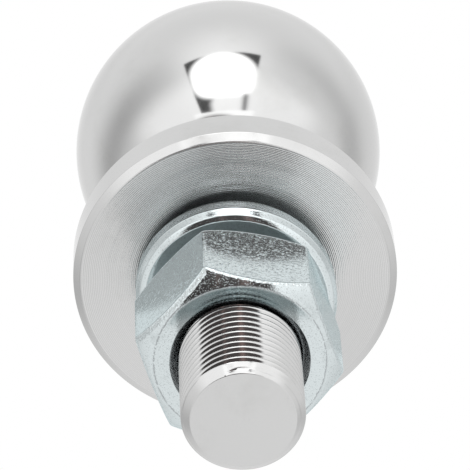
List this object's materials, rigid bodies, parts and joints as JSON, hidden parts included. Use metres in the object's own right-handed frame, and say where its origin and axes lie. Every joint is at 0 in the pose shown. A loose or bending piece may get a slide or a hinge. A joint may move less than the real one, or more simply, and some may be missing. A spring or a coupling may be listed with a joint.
{
  "type": "tow ball",
  "caption": "Round ball on a necked collar with a straight fine-threaded shank, closed by a hexagon nut over an open-coil spring lock washer.",
  "frame": {"origin": "centre of the flat face at the shank's free end", "axes": "+Z along the common axis, from the shank's free end through the collar to the ball; -Y is the side that faces the camera in the picture"},
  "size_m": [0.0516, 0.0516, 0.1137],
  "materials": {
    "polished_chrome": "bright chrome plate, polished on the ball, fine turning lines on the collar's seat",
    "zinc_washer": "bright blue-white zinc plate",
    "zinc_nut": "bright blue-white zinc plate, slightly scuffed"
  },
  "bodies": {
    "ball_body": {"tow_ball": "polished_chrome"},
    "washer_body": {"lock_washer": "zinc_washer"},
    "nut_body": {"hex_nut": "zinc_nut"}
  },
  "joints": [
    {"name": "stack_slide", "type": "slide", "parent": "ball_body", "child": "washer_body", "axis": [0, 0, -1], "range_m": [0, 0.0345]},
    {"name": "nut_turn", "type": "hinge", "parent": "washer_body", "child": "nut_body", "pos_m": [0, 0, 0.0261], "axis": [0, 0, -1], "range_deg": [0, 7800]}
  ],
  "couplings": [
    {"joint": "stack_slide", "follows": "nut_turn", "m_per_rad": 0.00025266}
  ]
}
